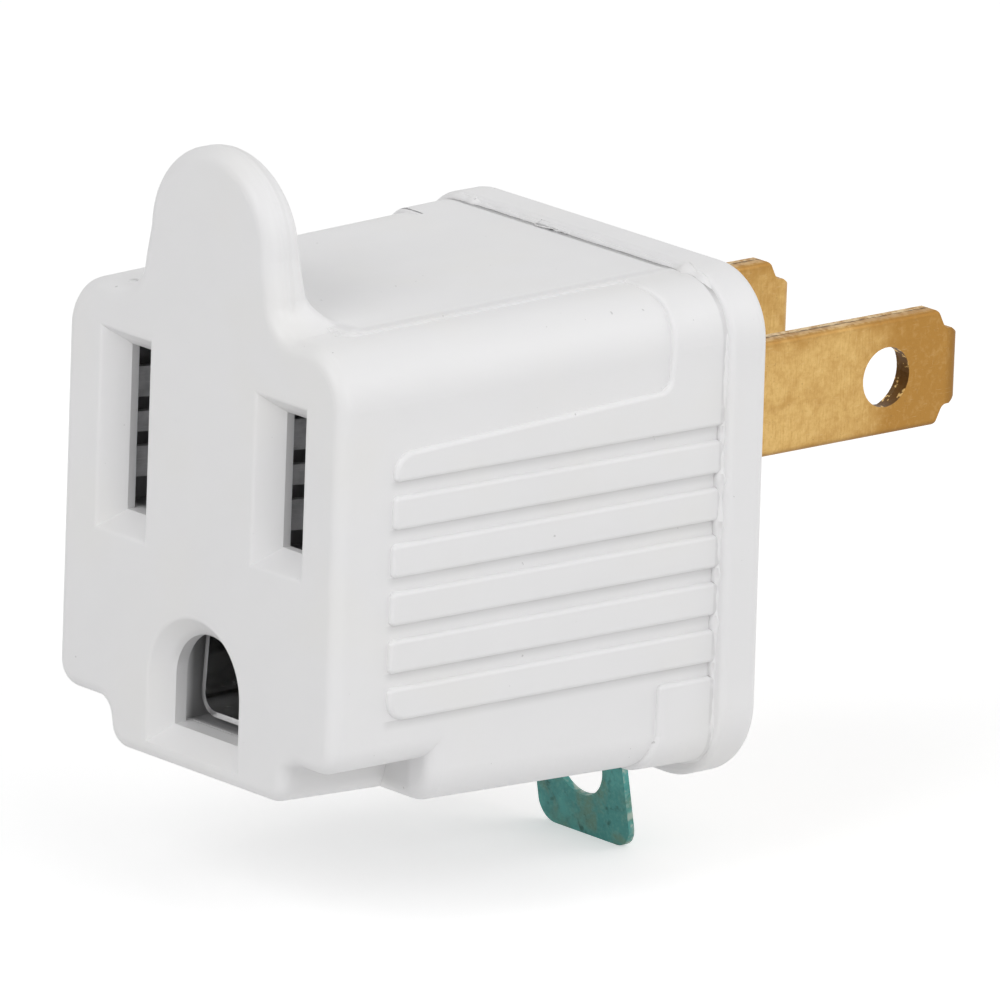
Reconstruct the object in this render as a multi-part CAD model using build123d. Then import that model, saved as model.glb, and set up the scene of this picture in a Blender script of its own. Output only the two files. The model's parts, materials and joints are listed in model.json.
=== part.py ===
from build123d import *
import math
import os

# Grounding plug adapter, three holes to two blades. Millimetres.
# +Z is up and +Y runs along the blades, towards the wall socket.
# The origin is on the plug face, midway between the blades, at their height.

# Receptacle body
body_depth = 28.2              # receptacle face to plug face
face_half_width = 11.3
face_top = 8.0                 # height of the top above the blades, at the face
face_bottom = 17.05            # depth of the underside below the blades, at the face
side_draft = 1.75              # degrees
top_draft = 0.9                # degrees
bottom_draft = 1.4             # degrees
top_corner_r = 3.1
bottom_corner_r = 2.0
face_edge_r = 0.8
face_wall = 1.85

# Lower front corners, cut back beside the ground opening
notch_ceiling = 14.7           # below the blades
notch_back = 6.7               # behind the face
lobe_half_width_top = 7.45
lobe_half_width_bottom = 6.95
lobe_middle = 0.25             # its middle stands this much to the right
lobe_draft = 3.0               # degrees, widening towards the back
notch_inner_r = 1.0
notch_outer_r = 1.4
lobe_edge_r = 1.3
notch_edge_r = 0.8

# Pull tab
tab_half_width = 5.0
tab_arc_height = 11.75         # centre of the round top, above the blades
tab_foot_half_width = 5.4
tab_foot_r = 1.8
tab_back_r = 2.1               # blend between its back and the top
tab_thick_foot = 2.9
tab_thick_top = 2.3
tab_edge_r = 1.15

# Raised work on the skin
plateau_half_width = 8.2
plateau_proud = 0.15
plateau_start = 2.9            # behind the face
bar_proud = 0.3
bar_count = 6
bar_pitch = 2.587
bar_height = 1.82
bar_first_edge = 0.93          # lower edge of the top bar, above the blades
bar_start = 3.5                # behind the face
bar_outer_r = 1.15
bar_corner_r = 0.3
bar_edge_r = 0.25
top_bar_front = 2.45           # upper edge of the top bar at its front end
top_bar_back = 3.35            # and where it meets the collar
collar_start = 6.4             # ahead of the plug face
collar_shoulder_y = 6.05       # ahead of the plug face, where its edge turns forward
collar_shoulder_z = 7.9        # above the blades
collar_sweep = 60.0            # degrees from upright, above the shoulder
collar_r = 0.7
pad_top = 12.75                # top of the lower pad, below the blades
pad_r = 0.3

# Openings in the face
pole_spacing = 12.7
slot_width = 2.1
neutral_slot_height = 9.0
hot_slot_height = 7.3
slot_funnel = 1.0
slot_funnel_depth = 1.35
ground_half_width = 2.7
ground_arch_height = 12.35     # centre of the arch, below the blades
ground_floor = 15.08           # below the blades
ground_funnel = 1.05
ground_funnel_depth = 1.1
mouth_edge_r = 0.3

# Flange and its locating spigot
flange_thick = 2.7
flange_half_width = 12.8       # at its top
flange_splay = 0.3             # added to it at the bottom
flange_top = 8.95
flange_bottom = 19.0
flange_top_r = 3.8
flange_bottom_r = 4.4
flange_edge_r = 0.8
flange_front_r = 0.35
spigot_length = 1.2
spigot_inset = 2.0
fit_gap = 0.12

# Blades, each folded from one brass strip
strip_thick = 0.7
blade_height = 6.4
blade_length = 18.8            # beyond the plug face
neutral_setback = 0.8          # the neutral blade stands out this much less
fold_gap = 0.05
tip_shoulder = 1.7             # from the tip to the start of the shoulder
tip_neck = 1.15                # from the tip to the neck
tip_neck_half = 2.1
tip_tongue_half = 1.6          # half height of the tongue's end
tip_tongue = 0.7               # from the tip to the start of the tongue's taper
tip_shoulder_r = 0.35
tip_neck_r = 0.45
tip_corner_r = 0.45
blade_hole_d = 3.3             # in the outer layer
inner_hole_d = 4.1             # in the layer towards the other blade
blade_hole_to_tip = 5.3
shoulder_height = 8.0
blade_tail = 4.0               # length of the wide inner end
blade_edge = 0.3

# Line contacts, grey sprung strips
contact_thick = 0.4
contact_height = 6.0
contact_half_gap = 1.9         # centre line of a leaf from the blade's middle, at the root
pinch_half_gap = 0.8
mouth_half_gap = 1.75
contact_root_y = 9.4           # ahead of the plug face
leaf_bend_y = 17.0
pinch_y = 22.8
mouth_y = 25.9
leaf_bend_r = 1.6
outer_finger = 1.65
finger_gap = 0.8
tail_thick = 0.5
tail_height = 4.4
tail_end_y = 4.2
chamber_side = 0.35            # room beside a leaf
chamber_end = 0.5              # room above and below a leaf

# Ground channel
ground_thick = 0.3
channel_floor = 14.45          # top of its floor, below the blades
channel_half_floor = 2.5
channel_half_top = 2.15
channel_r = 0.9
channel_top = 9.9
channel_front_y = 25.3
channel_back_y = 13.0
strap_half_width = 2.0
foot_top = 10.2
chamber_ground_side = 0.3

# Ground ear
ear_thick = 0.4
ear_front_y = 1.5              # ahead of the plug face
ear_half_width = 3.69
ear_top = 9.9
ear_bottom = 24.85
ear_bend = 18.9
ear_tilt = 10.4                # degrees, towards the wall
ear_corner_r = 1.2
ear_hole_d = 3.96
ear_hole_drop = 20.6
ear_gap = 0.06

# Rivets
rivet_d = 1.6
rivet_head_d = 3.0
rivet_head = 0.55
line_rivet_y = 5.7             # ahead of the plug face
ground_rivet_z = 12.6          # below the blades
rivet_room = 0.15

# Worked out from the sizes above
face_y = -body_depth
seam_y = -flange_thick
spigot_y = seam_y - spigot_length
blade_half_thick = strip_thick + fold_gap / 2
BIG = 100


def section_plane(y):
    """A plane across the adapter, with X to the right and Z up."""
    return Plane.XZ.offset(-y)


def grown(size, draft, y):
    """A face size with the draft that it has gained at y."""
    return size + (y - face_y) * math.tan(math.radians(draft))


def half_width(y):
    return grown(face_half_width, side_draft, y)


def top(y):
    return grown(face_top, top_draft, y)


def bottom(y):
    return -grown(face_bottom, bottom_draft, y)


def rounded_section(y, side, high, low, r_top, r_bottom, splay=0.0):
    """A section across the adapter, with its own corner radii above and below."""
    with BuildSketch(section_plane(y)) as section:
        with BuildLine():
            Polyline(
                (-side - splay, low), (side + splay, low), (side, high), (-side, high), close=True
            )
        make_face()
        fillet(section.vertices().group_by(Axis.Y)[-1], r_top)
        fillet(section.vertices().group_by(Axis.Y)[0], r_bottom)
    return section.sketch.face()


def drafted_block(front, back, proud=0.0):
    """The body between two depths, with square corners. Proud moves its skin outwards."""
    rise = min(proud, plateau_proud)
    with BuildSketch(Plane.XY) as plan:
        with BuildLine():
            Polyline(
                (-half_width(front) - proud, front),
                (half_width(front) + proud, front),
                (half_width(back) + proud, back),
                (-half_width(back) - proud, back),
                close=True,
            )
        make_face()
    with BuildSketch(Plane.YZ) as side:
        with BuildLine():
            Polyline(
                (front, bottom(front) - rise),
                (back, bottom(back) - rise),
                (back, top(back) + rise),
                (front, top(front) + rise),
                close=True,
            )
        make_face()
    wide = extrude(plan.sketch.face(), amount=BIG, both=True)
    return wide & extrude(side.sketch.face(), amount=BIG, both=True)


def long_edges(block, x, z):
    """The edges that run from front to back nearest to x and -x, at about the height z."""
    chosen = []
    for edge in block.edges():
        run = edge @ 1 - edge @ 0
        middle = edge.center()
        if abs(run.Y) > abs(run.X) + abs(run.Z) and math.hypot(abs(middle.X) - x, middle.Z - z) < 1:
            chosen.append(edge)
    return chosen


def skin_block(front, back, proud=0.0):
    """The body between two depths, with rounded corners."""
    block = drafted_block(front, back, proud)
    middle = (front + back) / 2
    block = fillet(long_edges(block, half_width(middle), top(middle)), top_corner_r)
    return fillet(long_edges(block, half_width(middle), bottom(middle)), bottom_corner_r)


def lobed_front(back):
    """The front of the body, with its lower corners cut away beside the lobe."""
    lean = (lobe_half_width_top - lobe_half_width_bottom) / (face_bottom - notch_ceiling)
    flare = math.tan(math.radians(lobe_draft))
    block = drafted_block(face_y, back)
    for hand in (-1, 1):
        root = lobe_middle + hand * (lobe_half_width_top + flare * (back + 1 - face_y))
        with BuildSketch(section_plane(back + 1)) as corner:
            with BuildLine():
                Polyline(
                    (root, -notch_ceiling),
                    (hand * BIG, -notch_ceiling),
                    (hand * BIG, -2 * face_bottom),
                    (root - hand * lean * (2 * face_bottom - notch_ceiling), -2 * face_bottom),
                    close=True,
                )
            make_face()
            inner = corner.vertices().sort_by_distance((root, -notch_ceiling))[0]
            fillet(inner, notch_inner_r)
        block -= extrude(corner.sketch.face(), amount=BIG / 4, dir=(-hand * flare, -1, 0))
    middle = (face_y + back) / 2
    block = fillet(long_edges(block, half_width(middle), top(middle)), top_corner_r)
    block = fillet(long_edges(block, half_width(middle), -notch_ceiling), notch_outer_r)
    lobe_side = lobe_half_width_bottom + (middle - face_y) * flare
    return fillet(long_edges(block, lobe_side, bottom(middle)), lobe_edge_r)


def tab_outline():
    """The pull tab from the front: a round top on straight sides with flared feet."""
    root = face_top - 1.0
    flare_y = face_top + tab_foot_r
    with BuildSketch(section_plane(face_y)) as outline:
        with BuildLine():
            left = ThreePointArc(
                (-tab_half_width, tab_arc_height),
                (0, tab_arc_height + tab_half_width),
                (tab_half_width, tab_arc_height),
            )
            Line(left @ 1, (tab_foot_half_width, flare_y))
            foot = RadiusArc(
                (tab_foot_half_width, flare_y),
                (tab_foot_half_width + tab_foot_r, face_top),
                -tab_foot_r,
            )
            Line(foot @ 1, (tab_foot_half_width + tab_foot_r, root))
            Line((tab_foot_half_width + tab_foot_r, root), (-tab_foot_half_width - tab_foot_r, root))
            Line((-tab_foot_half_width - tab_foot_r, root), (-tab_foot_half_width - tab_foot_r, face_top))
            RadiusArc(
                (-tab_foot_half_width - tab_foot_r, face_top),
                (-tab_foot_half_width, flare_y),
                -tab_foot_r,
            )
            Line((-tab_foot_half_width, flare_y), left @ 0)
        make_face()
    return outline.sketch.face()


def pull_tab():
    """The tab, thinner at its top than at its foot, with a blend behind it."""
    tab_top = tab_arc_height + tab_half_width
    reach = tab_thick_foot + tab_back_r + 0.2
    slab = extrude(tab_outline(), amount=-reach)
    with BuildSketch(Plane.YZ) as side:
        with BuildLine():
            Polyline(
                (face_y - 1, 0),
                (face_y + reach, 0),
                (face_y + reach, top(face_y + tab_thick_foot)),
                (face_y + tab_thick_foot, top(face_y + tab_thick_foot)),
                (face_y + tab_thick_top, tab_top + 1),
                (face_y - 1, tab_top + 1),
                close=True,
            )
        make_face()
        corner = side.vertices().sort_by_distance(
            (face_y + tab_thick_foot, top(face_y + tab_thick_foot))
        )[0]
        fillet(corner, tab_back_r)
    tab = slab & extrude(side.sketch.face(), amount=BIG, both=True)
    rear = [e for e in tab.edges() if e.center().Y > face_y + 1 and e.center().Z > top(face_y) + 0.3]
    rear = [e for e in rear if abs(e.center().X) > 0.5 or e.center().Z > tab_arc_height]
    return fillet(rear, tab_edge_r)


def side_prism(sketch, side):
    """A side-view sketch carried out sideways from the middle of the body."""
    return extrude(sketch, amount=side * BIG)


def collar_outline():
    """The top bar and the collar above it, from the side."""
    start = face_y + bar_start
    edge = -collar_start
    shoulder = (-collar_shoulder_y, collar_shoulder_z)
    above = face_top + 2
    sweep = (above - collar_shoulder_z) * math.tan(math.radians(collar_sweep))
    with BuildSketch(Plane.YZ) as outline:
        with BuildLine():
            Polyline(
                (start, bar_first_edge),
                (seam_y, bar_first_edge),
                (seam_y, above),
                (-collar_shoulder_y - sweep, above),
                shoulder,
                (edge, top_bar_back),
                (start, top_bar_front),
                close=True,
            )
        make_face()
        corners = outline.vertices()
        fillet(corners.sort_by_distance((start, top_bar_front))[0], bar_outer_r)
        corners = outline.vertices()
        fillet(corners.sort_by_distance((start, bar_first_edge))[0], bar_corner_r)
        corners = outline.vertices()
        fillet(corners.sort_by_distance((edge, top_bar_back))[0], collar_r)
        corners = outline.vertices()
        fillet(corners.sort_by_distance(shoulder)[0], collar_r)
    return outline.sketch.face()


def bar_outline(index):
    """One grip bar from the side. The lowest has the large corner below."""
    low = bar_first_edge - index * bar_pitch
    high = low + bar_height
    start = face_y + bar_start
    with BuildSketch(Plane.YZ) as outline:
        with BuildLine():
            Polyline((start, low), (seam_y, low), (seam_y, high), (start, high), close=True)
        make_face()
        r_low = bar_outer_r if index == bar_count - 1 else bar_corner_r
        fillet(outline.vertices().sort_by_distance((start, low))[0], r_low)
        fillet(outline.vertices().sort_by_distance((start, high))[0], bar_corner_r)
    return outline.sketch.face()


def pad_outline():
    """The lower pad at the back of the side."""
    edge = -collar_start
    low = -face_bottom - 2
    with BuildSketch(Plane.YZ) as outline:
        with BuildLine():
            Polyline(
                (edge, -pad_top),
                (seam_y, -pad_top),
                (seam_y, low),
                (edge - 1.2, low),
                (edge, low + 3.5),
                close=True,
            )
        make_face()
        fillet(outline.vertices().sort_by_distance((edge, -pad_top))[0], pad_r)
    return outline.sketch.face()


def shares(faces, edge):
    """Whether an edge bounds one of the faces."""
    middle = edge.center()
    return any((middle - other.center()).length < 1e-4 for face in faces for other in face.edges())


def softened(piece, side):
    """Round the rim between the outer skin of a raised piece and its walls."""
    skin = []
    walls = []
    for face in piece.faces():
        facing = face.normal_at(face.center()).X * side
        if facing > 0.05 and face.center().X * side > plateau_half_width + 0.05:
            skin.append(face)
        if abs(facing) < 1e-3 and abs(face.center().Y - seam_y) > 1e-3:
            walls.append(face)
    rim = [edge for edge in piece.edges() if shares(skin, edge) and shares(walls, edge)]
    return fillet(rim, bar_edge_r)


def raised_work():
    """The grip bars, collar and pads on both sides, as thin solids on the skin."""
    skin = skin_block(face_y, seam_y, bar_proud)
    core = Box(2 * plateau_half_width, BIG, BIG)
    pieces = []
    for side in (-1, 1):
        outlines = [collar_outline(), pad_outline()]
        outlines += [bar_outline(i) for i in range(1, bar_count)]
        for outline in outlines:
            piece = (skin & side_prism(outline, side)) - core
            pieces.append(softened(piece, side))
    return pieces


def plateau():
    """The low pad along the top, from the tab's foot to the seam."""
    start = face_y + plateau_start
    with BuildSketch(Plane.XY.offset(face_top - 1)) as outline:
        with BuildLine():
            Polyline(
                (-plateau_half_width, start),
                (plateau_half_width, start),
                (plateau_half_width, seam_y),
                (-plateau_half_width, seam_y),
                close=True,
            )
        make_face()
        fillet(outline.vertices().group_by(Axis.Y)[0], collar_r)
    column = extrude(outline.sketch.face(), amount=BIG)
    return skin_block(face_y, seam_y, bar_proud) & column


def opening_cut(mouth, depth, spread):
    """A funnel that narrows from its mouth in the face, then goes straight through the wall."""
    narrowing = math.degrees(math.atan2(spread, depth))
    funnel = extrude(mouth, amount=depth, dir=(0, 1, 0), taper=narrowing)
    throat = funnel.faces().sort_by(Axis.Y)[-1]
    return funnel + extrude(throat, amount=face_wall - depth + 0.5, dir=(0, 1, 0))


def slot_cut(x, height):
    """A blade slot in the face."""
    mouth = section_plane(face_y) * Pos(x, 0) * Rectangle(
        slot_width + 2 * slot_funnel, height + 2 * slot_funnel
    )
    return opening_cut(mouth.face(), slot_funnel_depth, slot_funnel)


def ground_cut():
    """The ground opening: flat floor, straight sides and a round top."""
    r = ground_half_width + ground_funnel
    floor = -ground_floor - ground_funnel
    centre = -ground_arch_height
    with BuildSketch(section_plane(face_y)) as mouth:
        with BuildLine():
            Line((-r, floor), (r, floor))
            Line((r, floor), (r, centre))
            ThreePointArc((r, centre), (0, centre + r), (-r, centre))
            Line((-r, centre), (-r, floor))
        make_face()
    return opening_cut(mouth.sketch.face(), ground_funnel_depth, ground_funnel)


def face_edges(shell):
    """The edges that lie in the receptacle face."""
    return shell.edges().filter_by_position(Axis.Y, face_y - 1e-3, face_y + 1e-3)


def at_slot(edge):
    """Whether an edge of the face belongs to the mouth of a blade slot."""
    middle = edge.center()
    side = (pole_spacing + slot_width) / 2 + slot_funnel + mouth_edge_r
    end = neutral_slot_height / 2 + slot_funnel + mouth_edge_r
    return abs(middle.X) < side and abs(middle.Z) < end


def at_arch(edge):
    """Whether an edge of the face belongs to the sides or top of the ground mouth."""
    middle = edge.center()
    side = ground_half_width + ground_funnel + 1e-3
    return abs(middle.X) < side and -ground_floor < middle.Z < -ground_arch_height + side


def chamber(x_low, x_high, z_low, z_high):
    """A pocket behind the face wall, open towards the flange."""
    front = face_y + face_wall
    depth = seam_y - front
    middle = Pos((x_low + x_high) / 2, front + depth / 2, (z_low + z_high) / 2)
    return middle * Box(x_high - x_low, depth + 0.01, z_high - z_low)


def line_chamber(x, slot_height):
    half = contact_half_gap + contact_thick / 2 + chamber_side
    reach = max(slot_height, contact_height + 2 * chamber_end, shoulder_height + 2 * fit_gap) / 2
    return chamber(x - half, x + half, -reach, reach)


def ground_chamber():
    half = channel_half_floor + ground_thick + chamber_ground_side
    floor = -channel_floor - ground_thick - chamber_ground_side
    return chamber(-half, half, floor, -channel_top + chamber_ground_side)


def spigot_section(y, gap):
    return rounded_section(
        y,
        half_width(seam_y) - spigot_inset - gap,
        top(seam_y) - spigot_inset - gap,
        bottom(seam_y) + spigot_inset + gap,
        top_corner_r - spigot_inset / 2,
        bottom_corner_r - spigot_inset / 2,
    )


def housing():
    notch_y = face_y + notch_back
    front = lobed_front(notch_y + notch_edge_r)
    back = skin_block(notch_y, seam_y)
    step = back.edges().filter_by_position(Axis.Y, notch_y - 1e-3, notch_y + 1e-3)
    back = fillet(step, notch_edge_r)
    shell = front + back + pull_tab()
    shell -= slot_cut(-pole_spacing / 2, neutral_slot_height)
    shell -= slot_cut(pole_spacing / 2, hot_slot_height)
    shell = fillet([edge for edge in face_edges(shell) if at_slot(edge)], mouth_edge_r)
    shell = fillet([edge for edge in face_edges(shell) if not at_slot(edge)], face_edge_r)
    shell -= ground_cut()
    shell = fillet([edge for edge in face_edges(shell) if at_arch(edge)], mouth_edge_r)
    shell += plateau()
    for piece in raised_work():
        shell += piece
    shell -= line_chamber(-pole_spacing / 2, neutral_slot_height)
    shell -= line_chamber(pole_spacing / 2, hot_slot_height)
    shell -= ground_chamber()
    shell -= extrude(spigot_section(seam_y, 0), amount=spigot_length + fit_gap)
    return shell


def blade_slot(x):
    room = 2 * fit_gap
    return Pos(x, -flange_thick, 0) * Box(
        2 * blade_half_thick + room, BIG / 4, blade_height + room
    )


def rear_cover():
    plate_front = rounded_section(
        0, flange_half_width, flange_top, -flange_bottom, flange_top_r, flange_bottom_r, flange_splay
    )
    plate = extrude(plate_front, amount=flange_thick)
    rear_rim = plate.edges().filter_by_position(Axis.Y, -1e-3, 1e-3)
    plate = fillet(rear_rim, flange_edge_r)
    front_rim = plate.edges().filter_by_position(Axis.Y, seam_y - 1e-3, seam_y + 1e-3)
    plate = fillet(front_rim, flange_front_r)
    plate += extrude(spigot_section(seam_y, fit_gap), amount=spigot_length)
    for side in (-1, 1):
        plate -= blade_slot(side * pole_spacing / 2)
    ear_back = -ear_front_y + ear_thick
    pocket_top = -ear_top + ear_gap
    pocket_floor = bottom(seam_y) + spigot_inset + fit_gap + 0.6
    pocket_half = ear_half_width + ear_gap
    plate -= Pos(0, (spigot_y + ear_back + ear_gap) / 2, (pocket_top + pocket_floor) / 2) * Box(
        2 * pocket_half, ear_back + ear_gap - spigot_y, pocket_top - pocket_floor
    )
    ear_middle = -ear_front_y + ear_thick / 2
    plate -= Pos(0, ear_middle, (pocket_top - flange_bottom - 2) / 2) * Box(
        2 * pocket_half, ear_thick + 2 * ear_gap, pocket_top + flange_bottom + 2
    )
    head_pocket = Plane.XZ.offset(-ear_back) * Pos(0, -ground_rivet_z) * Circle(
        rivet_head_d / 2 + rivet_room
    )
    plate -= extrude(head_pocket, amount=-(rivet_head + rivet_room))
    return plate


def blade_side_view(length):
    """The blade's outline seen from the side, with its narrowed tip and wide inner end."""
    high = blade_height / 2
    wide = shoulder_height / 2
    inner = spigot_y - blade_tail
    shoulder = (length - tip_shoulder, high)
    neck = (length - tip_neck, tip_neck_half)
    tongue = (length - tip_tongue, tip_neck_half)
    corner = (length, tip_tongue_half)
    upper = [(inner, wide), (spigot_y, wide), (spigot_y, high), shoulder, neck, tongue, corner]
    lower = [(y, -z) for y, z in reversed(upper)]
    with BuildSketch(Plane.YZ) as view:
        with BuildLine():
            Polyline(*upper, *lower, close=True)
        make_face()
        for (y, z), r in ((shoulder, tip_shoulder_r), (neck, tip_neck_r), (corner, tip_corner_r)):
            for hand in (-1, 1):
                fillet(view.vertices().sort_by_distance((y, hand * z))[0], r)
        with Locations((length - blade_hole_to_tip, 0)):
            Circle(blade_hole_d / 2, mode=Mode.SUBTRACT)
        with Locations((-line_rivet_y, 0)):
            Circle(rivet_d / 2, mode=Mode.SUBTRACT)
    return view.sketch.face()


def blade(x, length, side):
    """A strip folded flat on itself at the tip, then cut to its side view. Side is outwards."""
    inner = spigot_y - blade_tail
    bend = length - blade_half_thick
    with BuildSketch(Plane.XY) as folded:
        with Locations((0, (inner + bend) / 2)):
            Rectangle(2 * blade_half_thick, bend - inner)
        with Locations((0, bend)):
            Circle(blade_half_thick)
        with Locations((0, (inner + bend) / 2)):
            Rectangle(fold_gap, bend - inner, mode=Mode.SUBTRACT)
    strip = extrude(folded.sketch.face(), amount=shoulder_height, both=True)
    cut = strip & extrude(blade_side_view(length), amount=BIG, both=True)
    sizing = section_plane(spigot_y) * RectangleRounded(
        2 * blade_half_thick, blade_height, blade_edge
    )
    outside = extrude(sizing, amount=-(length - spigot_y))
    wide_end = Pos(0, spigot_y - blade_tail / 2, 0) * Box(
        2 * blade_half_thick, blade_tail, shoulder_height
    )
    inner_middle = Pos(-side * blade_half_thick / 2, length - blade_hole_to_tip, 0)
    inner_hole = inner_middle * Rot(0, 90, 0) * Cylinder(inner_hole_d / 2, blade_half_thick)
    return Pos(x, 0, 0) * (cut & (outside + wide_end) - inner_hole)


def contact(x, side):
    """A sprung strip: two leaves with three fingers each, a root and a riveted tail."""
    with BuildSketch(Plane.XY) as leaves:
        for hand in (-1, 1):
            with BuildLine() as leaf:
                FilletPolyline(
                    (0, -contact_root_y),
                    (hand * contact_half_gap, -contact_root_y),
                    (hand * contact_half_gap, -leaf_bend_y),
                    (hand * pinch_half_gap, -pinch_y),
                    (hand * mouth_half_gap, -mouth_y),
                    radius=leaf_bend_r,
                )
            strip = offset(
                leaf.line, amount=contact_thick / 2, kind=Kind.INTERSECTION, mode=Mode.PRIVATE
            )
            make_face(strip.edges())
    body = extrude(leaves.sketch, amount=contact_height / 2, both=True)
    gap_start = -leaf_bend_y
    for z in (-1, 1):
        middle = contact_height / 2 - outer_finger - finger_gap / 2
        body -= Pos(0, gap_start - BIG / 4, z * middle) * Box(BIG, BIG / 2, finger_gap)
    tail_x = side * (blade_half_thick + tail_thick / 2)
    tail_length = contact_root_y + contact_thick / 2 - tail_end_y
    tail = Pos(tail_x, -tail_end_y - tail_length / 2, 0) * Box(tail_thick, tail_length, tail_height)
    body += tail
    body -= Pos(tail_x, -line_rivet_y, 0) * Rot(0, 90, 0) * Cylinder(rivet_d / 2, 2)
    return Pos(x, 0, 0) * body


def line_rivet(x, side):
    """A rivet through the blade and the contact's tail, with a head at each end."""
    inner = -blade_half_thick
    outer = blade_half_thick + tail_thick
    return Pos(x, -line_rivet_y, 0) * Rot(0, side * 90, 0) * rivet(inner, outer)


def rivet(low, high):
    """A rivet along Z whose heads seat on the two heights."""
    shank = Pos(0, 0, (low + high) / 2) * Cylinder(rivet_d / 2, high - low)
    head = Cylinder(rivet_head_d / 2, rivet_head)
    head = chamfer(head.edges().filter_by(GeomType.CIRCLE).sort_by(Axis.Z)[-1], 0.7 * rivet_head)
    upper = Pos(0, 0, high + rivet_head / 2) * head
    lower = Pos(0, 0, low - rivet_head / 2) * Rot(180, 0, 0) * head
    return shank + upper + lower


def ground_contact():
    """A bright channel for the round pin, with a strap and a foot riveted to the ear."""
    floor = -channel_floor
    low = floor - ground_thick
    t = ground_thick
    with BuildSketch(section_plane(-channel_back_y)) as section:
        with BuildLine():
            Polyline(
                (-channel_half_floor - t, low),
                (channel_half_floor + t, low),
                (channel_half_top + t, -channel_top),
                (channel_half_top, -channel_top),
                (channel_half_floor, floor),
                (-channel_half_floor, floor),
                (-channel_half_top, -channel_top),
                (-channel_half_top - t, -channel_top),
                close=True,
            )
        make_face()
        for x in (-1, 1):
            outer = section.vertices().sort_by_distance((x * (channel_half_floor + t), low))[0]
            fillet(outer, channel_r + t)
            inner = section.vertices().sort_by_distance((x * channel_half_floor, floor))[0]
            fillet(inner, channel_r)
    channel = extrude(section.sketch.face(), amount=channel_front_y - channel_back_y)
    foot_back = -ear_front_y
    foot_front = foot_back - t
    with BuildSketch(Plane.YZ) as bend:
        with BuildLine():
            Polyline(
                (-channel_back_y, low),
                (foot_back, low),
                (foot_back, -foot_top),
                (foot_front, -foot_top),
                (foot_front, floor),
                (-channel_back_y, floor),
                close=True,
            )
        make_face()
        fillet(bend.vertices().sort_by_distance((foot_back, low))[0], 2 * t)
        fillet(bend.vertices().sort_by_distance((foot_front, floor))[0], t)
    strap = extrude(bend.sketch.face(), amount=strap_half_width, both=True)
    hole = Pos(0, foot_back - t / 2, -ground_rivet_z) * Rot(90, 0, 0) * Cylinder(rivet_d / 2, 2)
    return channel + strap - hole


def ground_ear():
    """The green ear: a plate held in the flange, bent back a little below it."""
    back = -ear_front_y + ear_thick
    front = -ear_front_y
    drop = ear_bottom - ear_bend
    lean = drop * math.tan(math.radians(ear_tilt))
    with BuildSketch(Plane.YZ) as bend:
        with BuildLine():
            Polyline(
                (front, -ear_top),
                (back, -ear_top),
                (back, -ear_bend),
                (back + lean, -ear_bottom),
                (front + lean, -ear_bottom),
                (front, -ear_bend),
                close=True,
            )
        make_face()
    plate = extrude(bend.sketch.face(), amount=BIG, both=True)
    with BuildSketch(Plane.XZ) as outline:
        with BuildLine():
            Polyline(
                (-ear_half_width, -ear_top),
                (ear_half_width, -ear_top),
                (ear_half_width, -ear_bottom),
                (-ear_half_width, -ear_bottom),
                close=True,
            )
        make_face()
        fillet(outline.vertices().group_by(Axis.Y)[0], ear_corner_r)
        fillet(outline.vertices().group_by(Axis.Y)[-1], ear_corner_r / 2)
        with Locations((0, -ground_rivet_z)):
            Circle(rivet_d / 2, mode=Mode.SUBTRACT)
    plate &= extrude(outline.sketch.face(), amount=BIG, both=True)
    hole_y = (front + back) / 2 + (ear_hole_drop - ear_bend) * math.tan(math.radians(ear_tilt))
    square_to_plate = Pos(0, hole_y, -ear_hole_drop) * Rot(ear_tilt - 90, 0, 0)
    return plate - square_to_plate * Cylinder(ear_hole_d / 2, 4 * ear_thick)


def ground_rivet():
    foot_front = -ear_front_y - ground_thick
    ear_back = -ear_front_y + ear_thick
    return Pos(0, 0, -ground_rivet_z) * Rot(-90, 0, 0) * rivet(foot_front, ear_back)


hot_x = pole_spacing / 2
neutral_x = -pole_spacing / 2
parts = {
    "housing": housing(),
    "rear_cover": rear_cover(),
    "hot_blade": blade(hot_x, blade_length, 1),
    "neutral_blade": blade(neutral_x, blade_length - neutral_setback, -1),
    "hot_contact": contact(hot_x, 1),
    "neutral_contact": contact(neutral_x, -1),
    "hot_rivet": line_rivet(hot_x, 1),
    "neutral_rivet": line_rivet(neutral_x, -1),
    "ground_contact": ground_contact(),
    "ground_ear": ground_ear(),
    "ground_rivet": ground_rivet(),
}

os.makedirs("parts", exist_ok=True)
for name, shape in parts.items():
    export_step(shape, "parts/" + name + ".step")
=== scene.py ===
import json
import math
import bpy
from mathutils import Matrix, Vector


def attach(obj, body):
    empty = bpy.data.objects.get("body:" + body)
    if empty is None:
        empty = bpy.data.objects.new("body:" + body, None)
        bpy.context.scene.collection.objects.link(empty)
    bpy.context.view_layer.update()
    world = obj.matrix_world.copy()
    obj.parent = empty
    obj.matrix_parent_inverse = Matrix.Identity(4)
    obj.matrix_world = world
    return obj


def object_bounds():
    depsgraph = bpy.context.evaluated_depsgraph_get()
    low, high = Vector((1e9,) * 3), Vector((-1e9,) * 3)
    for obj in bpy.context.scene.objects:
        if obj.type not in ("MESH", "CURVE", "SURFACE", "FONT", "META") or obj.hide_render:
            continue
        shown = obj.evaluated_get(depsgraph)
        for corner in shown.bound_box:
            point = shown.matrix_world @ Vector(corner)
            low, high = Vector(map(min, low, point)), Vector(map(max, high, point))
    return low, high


bl_info = {
    "name": "Grounding plug adapter",
    "version": (1, 0, 0),
    "blender": (4, 5, 0),
    "location": "3D View > Sidebar > Adapter",
    "description": "Finishes a grounding plug adapter and sets up its studio",
    "category": "Object",
}

import bmesh
import bpy
from mathutils import Matrix, Vector, noise

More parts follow.
